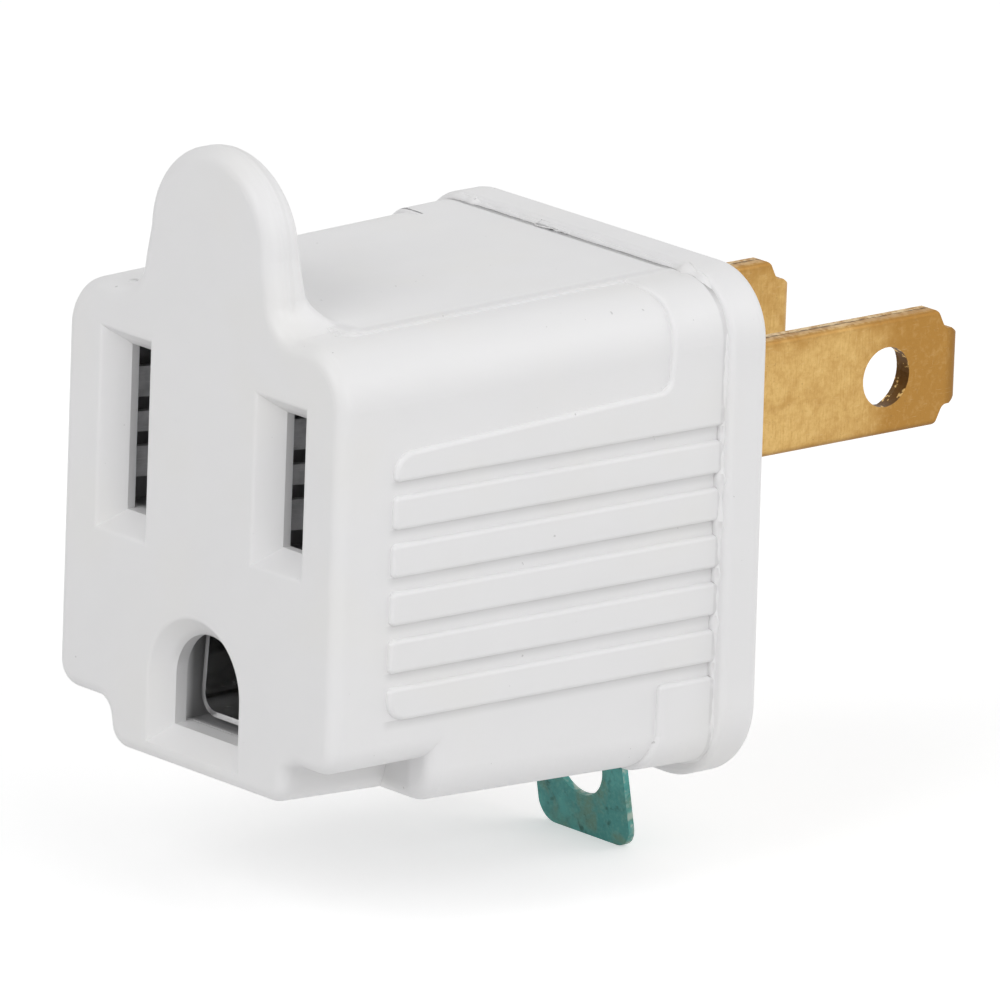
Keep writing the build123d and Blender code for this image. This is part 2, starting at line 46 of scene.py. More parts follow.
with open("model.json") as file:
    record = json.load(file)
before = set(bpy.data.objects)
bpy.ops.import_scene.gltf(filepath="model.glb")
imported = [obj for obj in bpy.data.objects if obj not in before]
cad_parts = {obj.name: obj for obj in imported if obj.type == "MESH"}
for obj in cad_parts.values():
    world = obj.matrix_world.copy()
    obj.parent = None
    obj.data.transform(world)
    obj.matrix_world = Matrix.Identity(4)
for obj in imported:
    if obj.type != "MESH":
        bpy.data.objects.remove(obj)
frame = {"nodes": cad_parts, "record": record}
cad_low, cad_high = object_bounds()
nodes = frame["nodes"]
MM = 0.001

# All sizes and places here are in millimetres

# The end of the housing, where the flange is welded on
SEAM_Y = -2.7
WALL_HALF_WIDTH = 12.08
WALL_TOP = 8.4
WALL_BOTTOM = -17.67
WALL_TOP_R = 3.1
WALL_BOTTOM_R = 2.0

# The grooves between the grip bars, with painted shade that starts above the middle of each and fades
# downwards
GROOVE_PITCH = 2.587
FIRST_GROOVE_Z = 0.55
GROOVE_SHADE_TOP = 0.38
GROOVE_SHADE_FADE = 0.62

# Where marks and painted shade lie: a band of four starts, is full, fades and ends, and an edge of two starts
# and is full
SEAM_DIRT_AND_SHADE_Y = (SEAM_Y - 0.34, SEAM_Y - 0.24, SEAM_Y - 0.01, SEAM_Y - 0.002)
GROOVES_X = (11.0, 11.2)
GROOVES_Y = (-25.0, -24.4, SEAM_Y - 0.1, SEAM_Y - 0.05)
GROOVES_Z = (-12.7, -12.5, 0.9, 1.0)
SLOT_ROOMS_X = (9.4, 9.0)
SLOT_ROOMS_Z = (-9.5, -9.0, 6.2, 6.6)
GROUND_ROOM_X = (6.0, 5.6)
GROUND_ROOM_Z = (-16.4, -16.0, -9.5, -9.0)
ROOMS_Y = (-26.2, -25.5, -0.8, -0.4)
MOUTHS_Y = (-27.5, -27.1)
NOTCH_X = (7.0, 7.8, 9.5, 10.0)
NOTCH_Y = (-20.5, -21.5)
NOTCH_Z = (-17.0, -16.2, -14.9, -14.5)
SHOULDER_X = (8.3, 7.3)
SHOULDER_Y = (-25.2, -23.8, SEAM_Y - 0.6, SEAM_Y - 0.1)
TAB_FOOT_Z = (8.6, 9.4)

# The parting line on the tab, and two soiled pits near the face's top edge, each with its reach
PARTING_Y = -26.9
PARTING_HALF_WIDTH = 0.3
PITS = (((5.45, -27.0, 7.95), 0.42), ((-7.1, -27.0, 8.25), 0.5))

# The blades, with the middle between their two holes and the reach of the painted shade and painted glints
# that cover both
BLADE_SPACING = 12.7
mounts = {mount["name"]: mount["pos_m"] for mount in frame["record"]["mounts"]}
HOLE_Y = (mounts["hot_blade_hole"][1] + mounts["neutral_blade_hole"][1]) / 2 / MM
HOLE_SHADE_AND_GLINT = (2.7, 2.5)
TIP_Y = (9.5, 17.0)
TIP_BORDER_Y = (17.6, 18.3)
RIM_Z = (2.2, 3.2)
BORDER_Z = (2.8, 3.15)

# The bead of squeezed-out plastic: X, Z, reach and amount of each place where more came out
SWELLINGS = (
    (8.9, 8.4, 0.45, 0.9),
    (10.1, 8.1, 0.4, 0.5),
    (-9.9, 8.3, 1.2, 0.45),
    (-8.3, 8.4, 0.35, 0.5),
)

# Its rings, the length of its edges, its first ring inside the wall and its last one inside the flange
BEAD_STEPS = 7
BEAD_EDGE = 0.22
BEAD_ROOT = 0.25
BEAD_LEAD = 0.05
BEAD_FOOT = 0.9
BEAD_SUNK = 0.2

# The torn film on top of the seam
FILM_X = -2.9
FILM_Z = 8.56
FILM_LENGTH = 2.5
FILM_WIDTH = 0.52
FILM_LAP = 0.1
FILM_LIFT = 0.28
FILM_CURL = 0.08
FILM_THICKNESS = 0.09


# Settings that a user would change

COLOUR = {"subtype": "COLOR", "size": 3, "min": 0.0, "max": 1.0}
SHARE = {"subtype": "FACTOR", "min": 0.0, "max": 1.0}


class PlasticSettings(bpy.types.PropertyGroup):
    """White moulded plastic of the housing and its rear cover."""

    colour: bpy.props.FloatVectorProperty(
        name="Colour", description="Colour of the plastic", default=(0.86, 0.856, 0.861), **COLOUR
    )
    cloudiness: bpy.props.FloatProperty(
        name="Cloudiness", description="How far the colour drifts from place to place", default=0.25, **SHARE
    )
    roughness: bpy.props.FloatProperty(
        name="Roughness", description="Mean roughness of the moulded skin", default=0.42, **SHARE
    )
    grain: bpy.props.FloatProperty(
        name="Grain", description="Height of the texture, in millimetres", min=0.0, max=0.1, default=0.004
    )
    # Strength of the dust specks and soiled pits, and of the painted shade in the seam, the grooves and the
    # notch
    dirt: bpy.props.FloatProperty(
        name="Dirt", description="Dust specks, and the dirt in the seam and the grooves", default=0.6, **SHARE
    )


class BladeSettings(bpy.types.PropertyGroup):
    """Rolled brass of the two blades."""

    bright: bpy.props.FloatVectorProperty(
        name="Bright brass", description="Colour where it is clean", default=(0.645, 0.425, 0.158), **COLOUR
    )
    tarnish: bpy.props.FloatVectorProperty(
        name="Tarnish", description="Colour of the darker clouds", default=(0.40, 0.21, 0.05), **COLOUR
    )
    cut_edge: bpy.props.FloatVectorProperty(
        name="Cut edge", description="Colour of edges and scratches", default=(0.68, 0.53, 0.31), **COLOUR
    )
    scratches: bpy.props.FloatProperty(
        name="Scratches", description="Strength of the fine scratches", default=0.5, **SHARE
    )


class EarSettings(bpy.types.PropertyGroup):
    """Green dyed steel of the ground ear."""

    dye: bpy.props.FloatVectorProperty(
        name="Dye", description="Main colour of the green dye", default=(0.062, 0.285, 0.262), **COLOUR
    )
    thin_dye: bpy.props.FloatVectorProperty(
        name="Thin dye", description="Colour where the steel shows", default=(0.13, 0.27, 0.205), **COLOUR
    )
    bare: bpy.props.FloatVectorProperty(
        name="Bare steel", description="Colour of the worn edges", default=(0.48, 0.52, 0.46), **COLOUR
    )


class FlashSettings(bpy.types.PropertyGroup):
    """Plastic squeezed out of the seam when the cover is welded on."""

    width: bpy.props.FloatProperty(
        name="Width", description="Mean width of the bead, in millimetres", min=0.05, max=0.8, default=0.42
    )
    height: bpy.props.FloatProperty(
        name="Height", description="Mean height of the bead, in millimetres", min=0.02, max=0.5, default=0.26
    )


class StudioSettings(bpy.types.PropertyGroup):
    """Camera, lamps and floor."""

    azimuth: bpy.props.FloatProperty(
        name="Azimuth", description="Camera turned from the receptacle face, in degrees", default=48.8535
    )
    elevation: bpy.props.FloatProperty(
        name="Elevation", description="Camera above the horizon, in degrees", default=15.2655
    )
    roll: bpy.props.FloatProperty(name="Roll", description="Camera roll, in degrees", default=2.0709)
    distance: bpy.props.FloatProperty(
        name="Distance", description="Camera to the point it looks at, in millimetres", default=931.82
    )
    focal_length: bpy.props.FloatProperty(
        name="Focal length", description="On a sensor 36 mm wide, in millimetres", default=631.25
    )
    aim: bpy.props.FloatVectorProperty(
        name="Aim",
        description="Point at the middle of the picture, in millimetres",
        size=3,
        default=(-1.977, -5.625, -5.985),
    )
    surround: bpy.props.FloatProperty(
        name="Surround", description="Brightness of the white tent around the object", min=0.0, default=0.36
    )
    key: bpy.props.FloatProperty(
        name="Key lamp", description="Lamp on the right, in watts", min=0.0, default=2.15
    )
    fill: bpy.props.FloatProperty(
        name="Fill lamp", description="Lamp in front and above, in watts", min=0.0, default=4.35
    )
    overhead: bpy.props.FloatProperty(
        name="Overhead lamp", description="Lamp above, in watts", min=0.0, default=0.95
    )
    rim: bpy.props.FloatProperty(
        name="Rim lamp", description="Lamp behind on the right, in watts", min=0.0, default=2.2
    )


# Materials

# Dark grey of dust and soiling, also used for painted shade in the seam, the grooves, the notch and the roofs
# of the mouths
GRIME_AND_SHADE = (0.16, 0.155, 0.15)


class Wire:
    """An output socket, from which Python's signs make Math nodes."""

    def __init__(self, finish, socket):
        self.finish = finish
        self.socket = socket

    def __add__(self, other):
        return self.finish.maths("ADD", self, other)

    __radd__ = __add__

    def __sub__(self, other):
        return self.finish.maths("SUBTRACT", self, other)

    def __rsub__(self, other):
        return self.finish.maths("SUBTRACT", other, self)

    def __mul__(self, other):
        return self.finish.maths("MULTIPLY", self, other)

    __rmul__ = __mul__

    def __mod__(self, other):
        return self.finish.maths("FLOORED_MODULO", self, other)

    def __abs__(self):
        return self.finish.maths("ABSOLUTE", self)


class Finish:
    """One material and its node tree."""

    def __init__(self, name):
        self.material = bpy.data.materials.new(name)
        self.material.use_nodes = True
        self.tree = self.material.node_tree
        self.shader = self.tree.nodes["Principled BSDF"]
        place = self.add("ShaderNodeTexCoord", out="Object")
        self.place = self.add("ShaderNodeVectorMath", {"operation": "SCALE"}, place, Scale=1 / MM)
        self.facing = self.add("ShaderNodeTexCoord", out="Normal")

    def add(self, kind, settings=None, *values, out=0, **named):
        """Add a node, make its settings, then fill its sockets by order or by name."""
        node = self.tree.nodes.new(kind)
        for name, value in (settings or {}).items():
            setattr(node, name, value)
        for index, value in enumerate(values):
            self.feed(node.inputs[index], value)
        for name, value in named.items():
            self.feed(node.inputs[name.replace("_", " ")], value)
        return Wire(self, node.outputs[out])

    def feed(self, socket, value):
        """Link a wire to a socket, or set the socket to a number, a vector or a colour."""
        if isinstance(value, Wire):
            self.tree.links.new(value.socket, socket)
        elif isinstance(value, (tuple, list)) and socket.type == "RGBA":
            socket.default_value = (*value[:3], 1)
        else:
            socket.default_value = value

    def maths(self, operation, *values):
        return self.add("ShaderNodeMath", {"operation": operation}, *values)

    def blend(self, factor, first, second):
        """Mix two colours."""
        node = self.tree.nodes.new("ShaderNodeMix")
        node.data_type = "RGBA"
        self.feed(node.inputs[0], factor)
        self.feed(node.inputs[6], first)
        self.feed(node.inputs[7], second)
        return Wire(self, node.outputs[2])

    def between(self, value, low, high, start=0.0, end=1.0):
        """Ease from start to end as the value goes from low to high."""
        smooth = {"interpolation_type": "SMOOTHSTEP"}
        return self.add("ShaderNodeMapRange", smooth, value, low, high, start, end)

    def within(self, value, start, full, fade, end):
        """Ease from 0 to 1 as the value goes from start to full, and back from fade to end."""
        return self.between(value, start, full) * self.between(value, end, fade)

    def stretched(self, scale, turn=(0, 0, 0)):
        """Object coordinates in millimetres, scaled along each axis."""
        return self.add("ShaderNodeMapping", None, self.place, Scale=scale, Rotation=turn)

    def clouds(self, scale, detail=3.0, where=None, roughness=0.5, distortion=0.0):
        """Noise, with its scale in features to the millimetre."""
        return self.add(
            "ShaderNodeTexNoise",
            None,
            Vector=where or self.place,
            Scale=scale,
            Detail=detail,
            Roughness=roughness,
            Distortion=distortion,
        )

    def along(self, axis, vector=None):
        """One part of a vector, or of the place in millimetres."""
        return self.add("ShaderNodeSeparateXYZ", None, vector or self.place, out=axis)

    def faces(self, axis):
        """How far the surface faces along one axis of the object, from -1 to 1."""
        return self.along(axis, self.facing)

    def relief(self, height, depth, normal=None):
        """Turn a pattern from 0 to 1 into bumps of a depth in millimetres."""
        node = self.tree.nodes.new("ShaderNodeBump")
        node.inputs["Strength"].default_value = 1.0
        node.inputs["Distance"].default_value = depth * MM
        self.feed(node.inputs["Height"], height)
        if normal:
            self.feed(node.inputs["Normal"], normal)
        return Wire(self, node.outputs[0])

    def surface(self, **sockets):
        """Fill the shader's sockets, and give the finished material."""
        for name, value in sockets.items():
            self.feed(self.shader.inputs[name.replace("_", " ")], value)
        return self.material


def dress(names, material):
    """Give packed nodes a material in place of their plain one."""
    for name in names:
        for slot in nodes[name].material_slots:
            slot.material = material


def moulded_tone(finish, settings):
    """Plastic whose colour drifts a little, with specks of dust."""
    drift = finish.clouds(0.12, 2)
    flow = finish.clouds(0.5, 3, finish.stretched((1, 0.35, 1)))
    shade = finish.between(drift * 0.6 + flow * 0.4, 0.35, 0.65)
    colour = tuple(settings.colour)
    darker = tuple(part * (1 - 0.06 * settings.cloudiness) for part in colour)
    warmer = (colour[0] * 0.995, colour[1] * 0.99, colour[2] * 0.965)
    tone = finish.blend(shade, darker, colour)
    tone = finish.blend(finish.between(finish.clouds(0.2, 1), 0.45, 0.8, 0, 0.5), tone, warmer)
    dust = finish.between(finish.clouds(2.2, 2), 0.755, 0.78)
    return finish.blend(dust * settings.dirt * 0.5, tone, GRIME_AND_SHADE)


def marks_of_use(finish, settings, tone):
    """Grime and painted shade in the seam, most of it on the top, and two soiled pits."""
    upward = finish.between(finish.faces("Z"), 0.6, 0.95)
    # Painted shade where the housing meets the flange, with grime in it, broken up by noise
    seam = finish.within(finish.along("Y"), *SEAM_DIRT_AND_SHADE_Y)
    seam = seam * finish.between(finish.clouds(1.3, 3), 0.2, 0.55) * (0.25 + upward * 0.75)
    tone = finish.blend(seam * settings.dirt, tone, GRIME_AND_SHADE)
    pits = 0
    for centre, reach in PITS:
        away = finish.add("ShaderNodeVectorMath", {"operation": "DISTANCE"}, finish.place, centre, out=1)
        pits = finish.between(away, reach, reach * 0.3) + pits
    specks = finish.between(finish.clouds(2.5, 3), 0.4, 0.6)
    return finish.blend(pits * specks * settings.dirt, tone, GRIME_AND_SHADE)


def groove_shade(finish, x, y, z):
    """Where painted shade lies in the grooves between the grip bars."""
    below = (FIRST_GROOVE_Z + GROOVE_SHADE_TOP - z) % GROOVE_PITCH
    groove = finish.between(below, GROOVE_SHADE_FADE, 0.0) * finish.within(z, *GROOVES_Z)
    groove = groove * finish.between(abs(finish.faces("X")), 0.3, 0.8) * finish.between(x, *GROOVES_X)
    groove = groove * finish.within(y, *GROOVES_Y)
    return groove * (0.6 + finish.clouds(0.6, 3, finish.stretched((1, 0.4, 2))) * 0.8)


def painted_shade_in_openings(finish, x, y, z, tone):
    """Painted shade on the walls of the rooms behind the slots and the ground hole, and on the roofs of their
    mouths.
    """
    slots = finish.between(x, *SLOT_ROOMS_X) * finish.within(z, *SLOT_ROOMS_Z)
    ground = finish.between(x, *GROUND_ROOM_X) * finish.within(z, *GROUND_ROOM_Z)
    rooms = slots + ground
    # Painted shade: the walls of the rooms turn dark grey
    tone = finish.blend(finish.within(y, *ROOMS_Y) * rooms * 0.87, tone, (0.17, 0.17, 0.175))
    # Painted shade on the surfaces that face down in the mouths
    roof_shade = finish.between(finish.faces("Z"), -0.1, -0.4) * rooms
    return finish.blend(roof_shade * finish.between(y, *MOUTHS_Y) * 0.14, tone, GRIME_AND_SHADE)


def moulded_forms(finish, y, z):
    """The soft shoulder of the raised top, and the parting line up the side of the tab."""
    level = finish.between(finish.faces("Z"), 0.8, 0.95) * finish.within(y, *SHOULDER_Y)
    bumps = finish.relief(finish.between(finish.along("X"), *SHOULDER_X) * level, 0.55)
    parting = finish.between(abs(y - PARTING_Y), PARTING_HALF_WIDTH, 0.0) * finish.between(z, *TAB_FOOT_Z)
    return finish.relief(parting, 0.055, bumps)


def white_plastic(settings, name="White moulded plastic", used=True):
    """The plastic of the body, or of the flash, which has no marks of use."""
    finish = Finish(name)
    x = abs(finish.along("X"))
    y = finish.along("Y")
    z = finish.along("Z")
    tone = moulded_tone(finish, settings)
    if used:
        tone = marks_of_use(finish, settings, tone)
    # Painted shade in the grooves, darkest at the top of each and fading downwards
    tone = finish.blend(groove_shade(finish, x, y, z) * settings.dirt * 0.32, tone, GRIME_AND_SHADE)
    tone = painted_shade_in_openings(finish, x, y, z, tone)
    # Painted shade in the notch under the housing's lower edge
    notch_shade = finish.within(x, *NOTCH_X) * finish.between(y, *NOTCH_Y) * finish.within(z, *NOTCH_Z)
    tone = finish.blend(notch_shade * settings.dirt * 0.22, tone, GRIME_AND_SHADE)
    rough = settings.roughness + (finish.clouds(0.8, 3) - 0.5) * 0.14
    skin = finish.clouds(3.2, 2)
    fine = finish.clouds(14.0, 2)
    bumps = finish.relief(fine * 0.5 + skin, settings.grain, moulded_forms(finish, y, z))
    return finish.surface(Base_Color=tone, Roughness=rough, Normal=bumps)


def sheared_edges(finish, settings, y, z, mottle, tone):
    """Cut edges with grime between the two layers, a dark border, and holes with walls of painted shade and
    painted glints.
    """
    cut_edge = tuple(settings.cut_edge)
    edge = finish.between(abs(finish.faces("X")), 0.75, 0.35)
    layer = finish.along("X") % BLADE_SPACING - BLADE_SPACING / 2
    tone = finish.blend(edge * finish.between(layer, 0.15, -0.05, 0.2, 0.85), tone, cut_edge)
    tone = finish.blend(edge * finish.between(mottle, 0.42, 0.62), tone, tuple(settings.tarnish))
    border = finish.between(z, *BORDER_Z) + finish.between(y, *TIP_BORDER_Y)
    tone = finish.blend(border * (1 - edge) * 0.6, tone, (0.24, 0.12, 0.03))
    soiled = finish.between(abs(layer), 0.2, 0.02) * finish.between(finish.clouds(3.0, 3), 0.4, 0.6)
    tone = finish.blend(soiled * edge * 0.85, tone, (0.16, 0.09, 0.035))
    from_hole = finish.maths("SQRT", (y - HOLE_Y) * (y - HOLE_Y) + z * z)
    hole = finish.between(from_hole, *HOLE_SHADE_AND_GLINT) * edge
    glint = finish.between(finish.clouds(2.2, 3), 0.57, 0.63)
    # Painted shade: the hole walls turn dark brown
    tone = finish.blend(hole * (1 - glint) * 0.9, tone, (0.11, 0.05, 0.012))
    # Painted glints of bright gold on the hole walls
    return finish.blend(hole * glint * 0.8, tone, (0.85, 0.58, 0.22))


def brass(settings):
    """Brass that is tarnished in patches, most at the tip, with scratches and nicks."""
    finish = Finish("Rolled brass strip")
    y = finish.along("Y")
    z = abs(finish.along("Z"))
    tarnish = tuple(settings.tarnish)
    clouds = finish.clouds(0.5, 5, distortion=0.3)
    tip = finish.between(y, *TIP_Y) * finish.between(finish.along("X"), -2.0, 2.0, 0.25, 1.0)
    rim = finish.between(z, *RIM_Z)
    patches = finish.between(clouds * 0.95 + tip * 0.62 + rim * 0.14, 0.38, 0.98)
    grain = finish.clouds(1.0, 3, finish.stretched((1, 9, 1.1)))
    mottle = finish.clouds(2.6, 5, roughness=0.65)
    flecks = finish.clouds(9.0, 3, roughness=0.7)
    spots = finish.between(finish.clouds(3.4, 4, roughness=0.7), 0.6, 0.72)
    tone = finish.blend(patches, tuple(settings.bright), tarnish)
    tone = finish.blend(finish.between(mottle, 0.4, 0.75, 0, 0.36), tone, tarnish)
    tone = finish.blend(finish.between(mottle, 0.52, 0.3, 0, 0.13), tone, (0.78, 0.56, 0.27))
    tone = finish.blend(finish.between(flecks, 0.5, 0.7, 0, 0.22), tone, tarnish)
    tone = finish.blend(finish.between(grain, 0.45, 0.75, 0, 0.3), tone, tarnish)
    tone = finish.blend(spots * 0.4, tone, (0.26, 0.15, 0.05))
    scratch = finish.between(finish.clouds(1.0, 2, finish.stretched((1, 1.1, 26), (0.18, 0, 0))), 0.66, 0.74)
    nicks = finish.between(finish.clouds(1.0, 2, finish.stretched((1, 22, 1.6), (-0.6, 0, 0))), 0.7, 0.76)
    marks = finish.maths("MAXIMUM", scratch, nicks) * settings.scratches
    tone = finish.blend(marks * 0.5, tone, tuple(settings.cut_edge))
    tone = sheared_edges(finish, settings, y, z, mottle, tone)
    rough = 0.36 + patches * 0.12 + grain * 0.08 - marks * 0.1
    across = finish.clouds(1.0, 2, finish.stretched((1, 0.5, 8)))
    bumps = finish.relief(grain + across * 0.5 + mottle - marks * 1.5, 0.005)
    return finish.surface(Base_Color=tone, Metallic=1.0, Roughness=rough, Normal=bumps)


def green_dye(settings):
    """Dye that is blotchy, and worn off along the sheared edges."""
    finish = Finish("Green dyed steel")
    blotches = finish.between(finish.clouds(0.6, 5, distortion=0.5), 0.44, 0.66)
    clear = finish.between(finish.clouds(0.45, 4, distortion=0.4), 0.47, 0.62)
    dark = finish.between(finish.clouds(1.3, 5), 0.56, 0.7)
    speckle = finish.clouds(4.5, 4, roughness=0.65)
    tone = finish.blend(blotches, tuple(settings.dye), tuple(settings.thin_dye))
    tone = finish.blend(clear * 0.75, tone, (0.10, 0.40, 0.37))
    tone = finish.blend(dark * 0.75, tone, (0.015, 0.085, 0.07))
    tone = finish.blend(finish.between(speckle, 0.48, 0.66, 0, 0.4), tone, (0.15, 0.42, 0.37))
    tone = finish.blend(finish.between(speckle, 0.44, 0.3, 0, 0.35), tone, (0.025, 0.12, 0.10))
    sheared = finish.between(abs(finish.faces("Y")), 0.8, 0.5)
    worn = finish.between(finish.clouds(1.9, 5), 0.46, 0.62) * sheared
    tone = finish.blend(worn * 0.65, tone, tuple(settings.bare))
    rough = 0.4 + speckle * 0.2 - worn * 0.1
    bumps = finish.relief(speckle * 0.5 + dark * 0.5, 0.012)
    return finish.surface(Base_Color=tone, Metallic=0.35 + worn * 0.3, Roughness=rough, Normal=bumps)


def spring_steel():
    """Dull grey strip with rolling marks."""
    finish = Finish("Dull spring strip")
    rolled = finish.clouds(1.0, 3, finish.stretched((1.5, 1.2, 12)))
    blur = finish.clouds(0.8, 3)
    tone = finish.blend(finish.between(blur, 0.35, 0.7), (0.60, 0.60, 0.61), (0.42, 0.42, 0.43))
    tone = finish.blend(finish.between(rolled, 0.5, 0.75, 0, 0.4), tone, (0.72, 0.72, 0.73))
    bumps = finish.relief(rolled, 0.004)
    return finish.surface(Base_Color=tone, Metallic=0.5, Roughness=0.4 + blur * 0.2, Normal=bumps)


def bright_plate():
    """Bright plating with a few duller stains."""
    finish = Finish("Bright plated strip")
    rolled = finish.clouds(1.0, 3, finish.stretched((10, 1.0, 3)))
    stain = finish.between(finish.clouds(0.7, 4), 0.5, 0.7)
    tone = finish.blend(stain * 0.5, (0.97, 0.97, 0.97), (0.62, 0.62, 0.61))
    bumps = finish.relief(rolled, 0.003)
    return finish.surface(Base_Color=tone, Metallic=1.0, Roughness=0.14 + stain * 0.16, Normal=bumps)


def rivet_brass():
    """Plain brass with the marks of the rivet tool."""
    finish = Finish("Rivet brass")
    hammered = finish.clouds(1.4, 3)
    turned = finish.clouds(6.0, 2)
    tone = finish.blend(finish.between(hammered, 0.4, 0.65), (0.62, 0.47, 0.26), (0.42, 0.31, 0.17))
    bumps = finish.relief(hammered + turned * 0.3, 0.02)
    return finish.surface(Base_Color=tone, Metallic=1.0, Roughness=0.34 + turned * 0.15, Normal=bumps)


# Meshes


def finished_piece(name, shape, material):
    """Make an object from a mesh in millimetres, which rides with the body."""
    bmesh.ops.recalc_face_normals(shape, faces=shape.faces)
    bmesh.ops.scale(shape, verts=shape.verts, vec=(MM, MM, MM))
    mesh = bpy.data.meshes.new(name)
    shape.to_mesh(mesh)
    shape.free()
    for face in mesh.polygons:
        face.use_smooth = True
    mesh.materials.append(material)
    piece = bpy.data.objects.new(name, mesh)
    bpy.context.scene.collection.objects.link(piece)
    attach(piece, "root")


def only(kind, geometry):
    """The parts of one kind, vertices or edges, of what a bmesh operator made."""
    return [item for item in geometry if isinstance(item, kind)]


def near(place, x, z, reach):
    """A soft bump, 1 at a point of the seam and 0 well past its reach."""
    gap = Vector((place.x - x, place.z - z)).length / reach
    return math.exp(-gap * gap)


def ripple(place, scale, row):
    """Smooth noise along the seam, from -1 to 1."""
    return noise.noise(Vector((place.x * scale, row, place.z * scale)))


# Operators


class ADAPTER_OT_plastic(bpy.types.Operator):
    """Finish the housing and its rear cover in white moulded plastic"""

    bl_idname = "adapter.plastic"
    bl_label = "Plastic body"

    def execute(self, context):
        dress(["housing", "rear_cover"], white_plastic(context.scene.adapter_plastic))
        return {"FINISHED"}


class ADAPTER_OT_flash(bpy.types.Operator):
    """Run the uneven bead of squeezed-out plastic round the seam, with the torn film on top"""

    bl_idname = "adapter.flash"
    bl_label = "Seam flash"

    def execute(self, context):
        plastic = context.scene.adapter_plastic
        clean = white_plastic(plastic, "Squeezed-out plastic", used=False)
        finished_piece("seam_bead", self.bead(context.scene.adapter_flash), clean)
        finished_piece("torn_film", self.film(), clean)
        return {"FINISHED"}

    def outline(self, shape):
        """The end of the housing as one loop of short edges."""
        half_height = (WALL_TOP - WALL_BOTTOM) / 2
        bmesh.ops.create_grid(shape, x_segments=1, y_segments=1, size=1.0)
        bmesh.ops.rotate(shape, verts=shape.verts, matrix=Matrix.Rotation(math.pi / 2, 3, "X"))
        bmesh.ops.scale(shape, verts=shape.verts, vec=(WALL_HALF_WIDTH, 1, half_height))
        bmesh.ops.translate(shape, verts=shape.verts, vec=(0, SEAM_Y, WALL_TOP - half_height))
        for upper, radius in ((True, WALL_TOP_R), (False, WALL_BOTTOM_R)):
            bmesh.ops.bevel(
                shape,
                geom=[vert for vert in shape.verts if (vert.co.z > 0) == upper],
                offset=radius,
                affect="VERTICES",
                segments=14,
                profile=0.5,
                material=-1,
            )
        for edge in list(shape.edges):
            cuts = round(edge.calc_length() / BEAD_EDGE)
            if cuts > 2:
                bmesh.ops.subdivide_edges(shape, edges=[edge], cuts=cuts)
        bmesh.ops.delete(shape, geom=shape.faces[:], context="FACES_ONLY")
        return shape.edges[:]

    def wall(self, place):
        """The wall's nearest point, and the way out from it across the ledge."""
        radius = WALL_TOP_R if place.z > 0 else WALL_BOTTOM_R
        half = WALL_HALF_WIDTH - radius
        core = Vector((max(-half, min(half, place.x)), SEAM_Y, place.z))
        core.z = max(WALL_BOTTOM + WALL_BOTTOM_R, min(WALL_TOP - WALL_TOP_R, place.z))
        out = Vector((place.x - core.x, 0, place.z - core.z)).normalized()
        return core + out * radius, out

    def swell(self, place, out):
        """How much plastic came out of the seam here: less on the top, and more at each groove."""
        ragged = ripple(place, 1.6, 4)
        amount = 0.85 + 0.35 * ripple(place, 0.35, 0) + 0.22 * ragged
        if out.z > 0.7:
            amount *= 0.85
        elif abs(out.x) > 0.95 and -14 < place.z < 1:
            phase = (place.z - FIRST_GROOVE_Z) / GROOVE_PITCH
            amount += 0.3 * (1 + ragged) * max(0.0, math.cos(math.tau * phase)) ** 2
        for x, z, reach, extra in SWELLINGS:
            amount += extra * near(place, x, z, reach)
        return amount

    def bead(self, settings):
        """Rings from inside the wall, out and down on to the flange, and then into it."""
        shape = bmesh.new()
        first = self.outline(shape)
        for vert in shape.verts:
            wall, out = self.wall(vert.co)
            vert.co = wall - out * BEAD_ROOT + Vector((0, -BEAD_LEAD, 0))
        edges = first
        quarter = BEAD_STEPS - 1
        for step in range(BEAD_STEPS + 1):
            made = bmesh.ops.extrude_edge_only(shape, edges=edges)["geom"]
            edges = only(bmesh.types.BMEdge, made)
            turn = math.radians(90) * min(step, quarter) / quarter
            for vert in only(bmesh.types.BMVert, made):
                wall, out = self.wall(vert.co)
                amount = self.swell(wall, out)
                across = settings.width * amount * math.sin(turn)
                ahead = settings.height * amount * math.cos(turn)
                if step == BEAD_STEPS:
                    across *= BEAD_FOOT
                    ahead = -BEAD_SUNK
                vert.co = wall + out * across + Vector((0, -ahead, 0))
        bmesh.ops.bridge_loops(shape, edges=first + edges)
        return shape

    def film(self):
        """A sliver of thin plastic, torn and folded down over the edge."""
        shape = bmesh.new()
        bmesh.ops.create_grid(shape, x_segments=26, y_segments=6, size=1.0)
        for vert in shape.verts:
            run = (vert.co.x + 1) / 2
            across = (vert.co.y + 1) / 2
            width = FILM_WIDTH * (1 - 0.45 * run) + 0.12 * noise.noise(Vector((run * 7, 2, 0)))
            curl = FILM_CURL * (1 - across) ** 2 * (1 + noise.noise(Vector((run * 5, 0, 7))))
            vert.co.x = FILM_X + FILM_LENGTH * run
            vert.co.y = SEAM_Y + FILM_LAP - width * (1 - across)
            vert.co.z = FILM_Z + curl + FILM_LIFT * across * across
        everything = shape.faces[:] + shape.edges[:] + shape.verts[:]
        bmesh.ops.solidify(shape, geom=everything, thickness=FILM_THICKNESS)
        return shape


class ADAPTER_OT_blades(bpy.types.Operator):
    """Finish both blades in rolled brass"""

    bl_idname = "adapter.blades"
    bl_label = "Blades"

    def execute(self, context):
        dress(["hot_blade", "neutral_blade"], brass(context.scene.adapter_blade))
        return {"FINISHED"}


class ADAPTER_OT_ear(bpy.types.Operator):
    """Finish the ground ear in worn green dye"""

    bl_idname = "adapter.ear"
    bl_label = "Ground ear"

    def execute(self, context):
        dress(["ground_ear"], green_dye(context.scene.adapter_ear))
        return {"FINISHED"}


